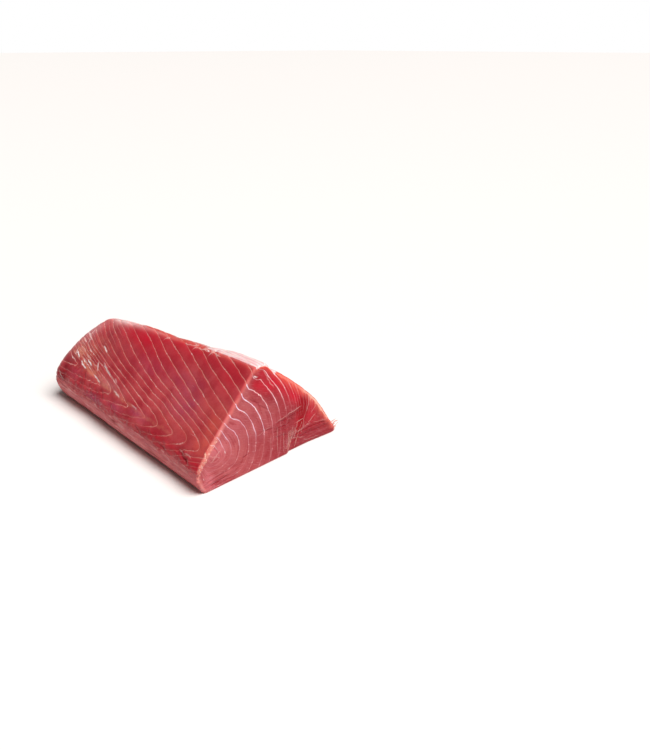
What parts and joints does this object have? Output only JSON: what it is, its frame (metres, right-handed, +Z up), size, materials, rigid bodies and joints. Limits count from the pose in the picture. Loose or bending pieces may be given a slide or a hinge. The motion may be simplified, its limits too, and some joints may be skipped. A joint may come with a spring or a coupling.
{
  "type": "tuna loin block",
  "caption": "Three-sided block of raw red tuna loin, flat-cut on the left, front and base, rounded on the side that faced the skin.",
  "frame": {"origin": "centre of the base of the block's box, on the surface it lies on", "axes": "+X along the block towards its clean cut end, +Z up, -Y towards the tall flat cut side"},
  "size_m": [0.2464, 0.1482, 0.0901],
  "materials": {
    "flesh": "moist raw muscle, deep red, crossed by thin pale sheets of tissue",
    "tissue": "moist pale pink tissue, thin and slightly see-through"
  },
  "bodies": {
    "root": {"tuna_loin": "flesh"}
  },
  "joints": []
}
